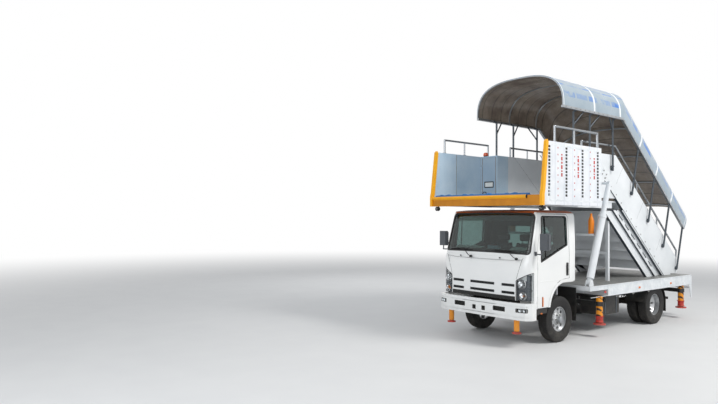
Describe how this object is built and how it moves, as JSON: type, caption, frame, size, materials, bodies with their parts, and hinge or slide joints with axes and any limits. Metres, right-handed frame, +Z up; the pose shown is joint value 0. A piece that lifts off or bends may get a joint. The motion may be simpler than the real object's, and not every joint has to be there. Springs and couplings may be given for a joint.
{
  "type": "mobile aircraft stairs",
  "caption": "Self-propelled passenger stairs: light truck with a sliding covered flight of steps, a platform with bumper, folding jacks and telescopic lifting posts.",
  "frame": {"origin": "on the ground, at the middle of the overall length and width", "axes": "+Z up, front of the truck faces -Y, +X is the left side of the truck, length along Y"},
  "size_m": [2.572, 6.4916, 4.9313],
  "materials": {
    "white_paint": "satin paint",
    "chassis_paint": "semi-gloss black paint",
    "orange_paint": "gloss paint",
    "cabinet_paint": "satin paint",
    "cast_iron_parts": "cast, greasy",
    "tyre_rubber": "matt",
    "wheel_paint": "satin silver paint",
    "black_plastic": "moulded, matt",
    "cab_trim": "moulded, matt",
    "seat_cloth": "woven",
    "lamp_lens": "clear lens",
    "cab_glazing": "clear, lightly tinted",
    "canopy_sheet": "translucent ribbed sheet",
    "frame_aluminium": "anodised",
    "tread_plate": "raised tread plate",
    "bumper_rubber": "moulded, matt",
    "rail_steel": "brushed stainless",
    "rod_chrome": "hard chromed",
    "beacon_lens": "moulded lens",
    "cone_plastic": "moulded"
  },
  "bodies": {
    "truck": {"chassis_frame": "chassis_paint", "front_axle": "cast_iron_parts", "rear_axle": "cast_iron_parts", "driveline": "cast_iron_parts", "cab_shell": "white_paint", "cab_roof": "white_paint", "nose_panel": "white_paint", "front_bumper": "white_paint", "headlamps": "lamp_lens", "cab_glass": "cab_glazing", "dashboard": "cab_trim", "seats": "seat_cloth", "mirrors": "black_plastic", "mudguards": "black_plastic", "side_equipment": "chassis_paint", "deck": "white_paint", "jack_barrels": "orange_paint", "lower_flight": "white_paint", "cone_rack": "white_paint", "warning_cones": "cone_plastic"},
    "knuckle_left": {"steering_knuckle_left": "cast_iron_parts"},
    "front_wheel_assembly_left": {"front_tyre_left": "tyre_rubber", "front_wheel_left": "wheel_paint"},
    "rear_wheel_assembly_left": {"rear_tyres_left": "tyre_rubber", "rear_wheels_left": "wheel_paint"},
    "door_assembly_left": {"door_left": "white_paint", "door_glass_left": "cab_glazing"},
    "knuckle_right": {"steering_knuckle_right": "cast_iron_parts"},
    "front_wheel_assembly_right": {"front_tyre_right": "tyre_rubber", "front_wheel_right": "wheel_paint"},
    "rear_wheel_assembly_right": {"rear_tyres_right": "tyre_rubber", "rear_wheels_right": "wheel_paint"},
    "door_assembly_right": {"door_right": "white_paint", "door_glass_right": "cab_glazing"},
    "front_jacks": {"front_jack_legs": "rod_chrome"},
    "middle_jacks": {"middle_jack_legs": "rod_chrome"},
    "rear_jacks": {"rear_jack_legs": "rod_chrome"},
    "middle_stage": {"middle_flight": "white_paint"},
    "upper_stage": {"upper_flight": "white_paint", "stair_panels": "white_paint", "platform_floor": "tread_plate", "platform_walls": "white_paint", "platform_bumper": "bumper_rubber", "platform_cabinets": "cabinet_paint", "platform_lamps": "beacon_lens", "handrails": "rail_steel", "canopy_sheets": "canopy_sheet", "canopy_hoops": "frame_aluminium", "canopy_rails": "frame_aluminium", "canopy_posts": "frame_aluminium", "canopy_supports": "frame_aluminium"},
    "cabinet_leaf": {"cabinet_door": "cabinet_paint"},
    "post_lower": {"post_outer_tubes": "white_paint"},
    "post_middle": {"post_middle_tubes": "white_paint"},
    "post_upper": {"post_inner_tubes": "white_paint"}
  },
  "joints": [
    {"name": "steer_left", "type": "hinge", "parent": "truck", "child": "knuckle_left", "pos_m": [0.7, -2.13584, 0.41], "axis": [0, 0, 1], "range_deg": [-35, 35]},
    {"name": "front_wheel_spin_left", "type": "hinge", "parent": "knuckle_left", "child": "front_wheel_assembly_left", "pos_m": [0.845, -2.13584, 0.41], "axis": [1, 0, 0], "continuous": true},
    {"name": "rear_wheel_spin_left", "type": "hinge", "parent": "truck", "child": "rear_wheel_assembly_left", "pos_m": [0.855, 1.22916, 0.41], "axis": [1, 0, 0], "continuous": true},
    {"name": "door_swing_left", "type": "hinge", "parent": "truck", "child": "door_assembly_left", "pos_m": [0.993, -2.87784, 1.4], "axis": [0, 0, -1], "range_deg": [0, 70]},
    {"name": "steer_right", "type": "hinge", "parent": "truck", "child": "knuckle_right", "pos_m": [-0.7, -2.13584, 0.41], "axis": [0, 0, 1], "range_deg": [-35, 35]},
    {"name": "front_wheel_spin_right", "type": "hinge", "parent": "knuckle_right", "child": "front_wheel_assembly_right", "pos_m": [-0.845, -2.13584, 0.41], "axis": [1, 0, 0], "continuous": true},
    {"name": "rear_wheel_spin_right", "type": "hinge", "parent": "truck", "child": "rear_wheel_assembly_right", "pos_m": [-0.855, 1.22916, 0.41], "axis": [1, 0, 0], "continuous": true},
    {"name": "door_swing_right", "type": "hinge", "parent": "truck", "child": "door_assembly_right", "pos_m": [-0.993, -2.87784, 1.4], "axis": [0, 0, 1], "range_deg": [0, 70]},
    {"name": "front_jacks_lower", "type": "slide", "parent": "truck", "child": "front_jacks", "axis": [0, 0, -1], "range_m": [0, 0.236]},
    {"name": "middle_jacks_lower", "type": "slide", "parent": "truck", "child": "middle_jacks", "axis": [0, 0, -1], "range_m": [0, 0.236]},
    {"name": "rear_jacks_lower", "type": "slide", "parent": "truck", "child": "rear_jacks", "axis": [0, 0, -1], "range_m": [0, 0.236]},
    {"name": "stage_lift", "type": "slide", "parent": "truck", "child": "upper_stage", "axis": [0, -0.7809, 0.6247], "range_m": [0, 3]},
    {"name": "middle_flight_lift", "type": "slide", "parent": "truck", "child": "middle_stage", "axis": [0, -0.7809, 0.6247], "range_m": [0, 1.5]},
    {"name": "post_tilt", "type": "hinge", "parent": "truck", "child": "post_lower", "pos_m": [0, -1.37084, 1.03], "axis": [1, 0, 0], "range_deg": [0, 44.29]},
    {"name": "post_extend_middle", "type": "slide", "parent": "post_lower", "child": "post_middle", "axis": [0, 0.3562, 0.9344], "range_m": [0, 1.0399]},
    {"name": "post_extend_upper", "type": "slide", "parent": "post_middle", "child": "post_upper", "axis": [0, 0.3562, 0.9344], "range_m": [0, 1.0399]},
    {"name": "cabinet_door_swing", "type": "hinge", "parent": "upper_stage", "child": "cabinet_leaf", "pos_m": [-1.218, -1.70484, 3], "axis": [0, 0, -1], "range_deg": [0, 90]}
  ],
  "couplings": [
    {"joint": "steer_right", "follows": "steer_left", "ratio": 1},
    {"joint": "middle_flight_lift", "follows": "stage_lift", "ratio": 0.5},
    {"joint": "post_tilt", "follows": "stage_lift", "rad_per_m": 0.25758},
    {"joint": "post_extend_middle", "follows": "stage_lift", "ratio": 0.34647},
    {"joint": "post_extend_upper", "follows": "stage_lift", "ratio": 0.34647}
  ]
}
